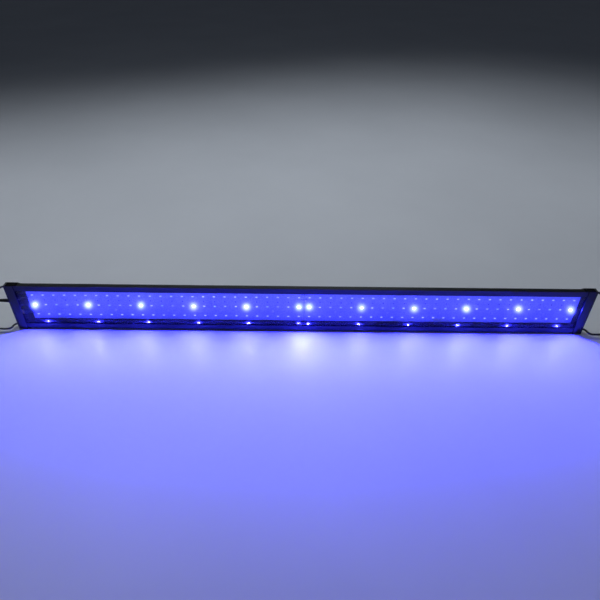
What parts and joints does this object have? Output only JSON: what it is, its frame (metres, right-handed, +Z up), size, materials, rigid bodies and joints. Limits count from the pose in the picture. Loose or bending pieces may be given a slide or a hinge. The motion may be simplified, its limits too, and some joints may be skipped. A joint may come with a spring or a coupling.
{
  "type": "led aquarium light",
  "caption": "Slim bar light for an aquarium: black aluminium housing, rows of LEDs behind a clear guard, end caps and slide-out wire brackets.",
  "frame": {"origin": "centre of the box's base, measured without the free lead, on the surface that the lamp stands on", "axes": "+X along the lamp, away from the end that the lead leaves; +Y into the lamp from its lit face; +Z up, across the lamp's width"},
  "size_m": [1.4783, 0.0568, 0.108],
  "materials": {
    "housing": "satin black anodised",
    "cap_plastic": "fine moulded texture",
    "screw_steel": "plated",
    "guard_clear": "clear acrylic",
    "pad_grey": "matte",
    "board_white": "white solder mask",
    "led_daylight": "white package with a yellow window",
    "led_red": "white package with a clear window",
    "led_green": "white package with a clear window",
    "led_blue": "lit",
    "resistor_black": "glazed",
    "wire_black": "PVC insulation",
    "wire_white": "PVC insulation",
    "switch_black": "gloss",
    "terminal_brass": "tinned",
    "bracket_black": "black powder coat",
    "sleeve_rubber": "matte",
    "cord_black": "soft PVC",
    "tie_grey": "matte",
    "connector_black": "satin",
    "barrel_nickel": "nickel plated"
  },
  "bodies": {
    "lamp": {"housing_extrusion": "housing", "end_cap_left": "cap_plastic", "end_cap_right": "cap_plastic", "end_cap_screws_left": "screw_steel", "end_cap_screws_right": "screw_steel", "splash_guard": "guard_clear", "thermal_pad_left": "pad_grey", "thermal_pad_right": "pad_grey", "led_board_left": "board_white", "led_board_right": "board_white", "daylight_leds": "led_daylight", "red_leds": "led_red", "green_leds": "led_green", "blue_leds": "led_blue", "board_resistors": "resistor_black", "board_screws": "screw_steel", "board_link_wires": "wire_white", "supply_wires": "wire_black", "switch_bezel": "switch_black", "switch_terminals": "terminal_brass", "cord_strain_relief": "cord_black", "cord_run": "cord_black", "cord_hank": "cord_black", "cord_tie": "tie_grey", "connector_body": "connector_black", "connector_barrel": "barrel_nickel"},
    "bracket_left": {"bracket_left": "bracket_black", "rim_sleeve_left": "sleeve_rubber"},
    "bracket_right": {"bracket_right": "bracket_black", "rim_sleeve_right": "sleeve_rubber"},
    "switch_rocker": {"switch_rocker": "switch_black"}
  },
  "joints": [
    {"name": "bracket_left_slide", "type": "slide", "parent": "lamp", "child": "bracket_left", "axis": [-1, 0, 0], "range_m": [0, 0.065]},
    {"name": "bracket_right_slide", "type": "slide", "parent": "lamp", "child": "bracket_right", "axis": [1, 0, 0], "range_m": [0, 0.065]},
    {"name": "switch_rocker_hinge", "type": "hinge", "parent": "lamp", "child": "switch_rocker", "pos_m": [-0.584, 0.0053, 0.038], "axis": [0, 1, 0], "range_deg": [0, 20]}
  ]
}
